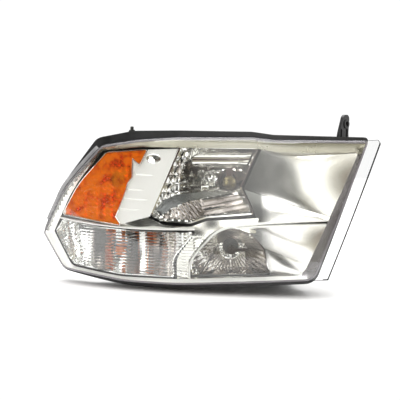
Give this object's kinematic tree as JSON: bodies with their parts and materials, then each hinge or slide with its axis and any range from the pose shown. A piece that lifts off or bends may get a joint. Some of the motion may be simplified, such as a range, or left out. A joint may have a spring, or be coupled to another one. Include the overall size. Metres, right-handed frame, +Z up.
{
  "type": "car headlight assembly",
  "caption": "Swept wrap-around headlight for a pickup truck, with stacked low and high beam bowls, fluted turn lamp, amber side marker and adjustable reflector.",
  "frame": {"origin": "on the surface the lamp stands on, under the middle of its bounding box", "axes": "+X runs along the lamp to its inboard end, +Y from the lens to the back, +Z up as mounted on the vehicle"},
  "size_m": [0.5795, 0.2389, 0.3035],
  "materials": {
    "clear_lens": "clear hard-coated polycarbonate",
    "fluted_lens": "clear acrylic with moulded flutes",
    "amber_lens": "amber acrylic with moulded facets",
    "black_housing": "moulded black polypropylene",
    "sealant": "grey butyl sealant",
    "mirror_trim": "plastic with vacuum-deposited aluminium, clear lacquer",
    "mirror_bowl": "moulded reflector with vacuum-deposited aluminium",
    "boot_rubber": "matte EPDM rubber",
    "steel": "zinc-plated steel",
    "shield_steel": "bright plated steel sheet",
    "nylon_white": "natural nylon",
    "nylon_grey": "grey nylon",
    "connector_black": "black glass-filled nylon",
    "seal_orange": "orange silicone seal",
    "bulb_glass": "clear quartz glass",
    "bulb_amber": "amber-coated glass",
    "terminal": "tin-plated brass",
    "rod_steel": "rolled-thread steel rod"
  },
  "bodies": {
    "housing": {"rear_housing": "black_housing", "outer_lens": "clear_lens", "lens_sealant": "sealant", "chrome_bezel": "mirror_trim", "marker_reflector": "mirror_trim", "amber_marker_lens": "amber_lens", "turn_reflector": "mirror_trim", "turn_inner_lens": "fluted_lens", "left_pivot_stud": "steel", "right_pivot_stud": "steel", "adjuster_case": "connector_black", "adjuster_cover": "nylon_grey", "upper_vent_cap": "boot_rubber", "lower_vent_cap": "boot_rubber", "housing_screws": "steel", "adjuster_screws": "steel", "top_locating_pin": "steel", "outboard_snap_stud": "nylon_white", "low_bulb_boot": "boot_rubber", "high_bulb_boot": "boot_rubber"},
    "reflector": {"beam_reflector": "mirror_bowl", "low_beam_shield": "shield_steel", "high_beam_shield": "shield_steel", "shield_rivets": "steel", "left_pivot_socket": "nylon_white", "right_pivot_socket": "nylon_white", "adjuster_socket": "nylon_white"},
    "low_bulb": {"low_bulb_base": "connector_black", "low_bulb_seal": "seal_orange", "low_bulb_glass": "bulb_glass", "low_bulb_terminals": "terminal"},
    "high_bulb": {"high_bulb_base": "connector_black", "high_bulb_seal": "seal_orange", "high_bulb_glass": "bulb_glass", "high_bulb_terminals": "terminal"},
    "turn_socket": {"turn_socket_body": "nylon_grey", "turn_socket_gasket": "seal_orange", "turn_socket_bulb": "bulb_amber", "turn_socket_terminals": "terminal"},
    "marker_socket": {"marker_socket_body": "nylon_grey", "marker_socket_gasket": "seal_orange", "marker_socket_bulb": "bulb_glass", "marker_socket_terminals": "terminal"},
    "adjuster_rod": {"adjuster_rod": "rod_steel"},
    "crown_gear": {"adjuster_crown_gear": "nylon_grey"},
    "drive_pinion": {"adjuster_drive_pinion": "nylon_white"}
  },
  "joints": [
    {"name": "reflector_tilt", "type": "hinge", "parent": "housing", "child": "reflector", "pos_m": [0.0041, -0.0035, 0.128], "axis": [1, 0, 0], "range_deg": [-2.5, 2.5], "deforming": ["low_bulb_boot", "high_bulb_boot"]},
    {"name": "adjuster_rod_slide", "type": "slide", "parent": "housing", "child": "adjuster_rod", "axis": [0, 1, 0], "range_m": [-0.0037, 0.0037]},
    {"name": "crown_gear_turn", "type": "hinge", "parent": "housing", "child": "crown_gear", "pos_m": [0.1381, 0.0845, 0.045], "axis": [0, 1, 0], "range_deg": [-660, 660]},
    {"name": "drive_pinion_turn", "type": "hinge", "parent": "housing", "child": "drive_pinion", "pos_m": [0.1381, 0.0845, 0.045], "axis": [0, 0, 1], "range_deg": [-660, 660]},
    {"name": "low_bulb_twist", "type": "hinge", "parent": "reflector", "child": "low_bulb", "pos_m": [0.0481, 0.0685, 0.184], "axis": [0, 1, 0], "range_deg": [0, 40]},
    {"name": "high_bulb_twist", "type": "hinge", "parent": "reflector", "child": "high_bulb", "pos_m": [0.0521, 0.0685, 0.066], "axis": [0, 1, 0], "range_deg": [0, 40]},
    {"name": "turn_socket_twist", "type": "hinge", "parent": "housing", "child": "turn_socket", "pos_m": [-0.1419, 0.0545, 0.066], "axis": [0, 1, 0], "range_deg": [0, 45]},
    {"name": "marker_socket_twist", "type": "hinge", "parent": "housing", "child": "marker_socket", "pos_m": [-0.1469, 0.0545, 0.19], "axis": [0, 1, 0], "range_deg": [0, 45]}
  ],
  "couplings": [
    {"joint": "adjuster_rod_slide", "follows": "reflector_tilt", "m_per_rad": 0.083},
    {"joint": "crown_gear_turn", "follows": "reflector_tilt", "ratio": -260.75},
    {"joint": "drive_pinion_turn", "follows": "reflector_tilt", "ratio": 260.75}
  ]
}
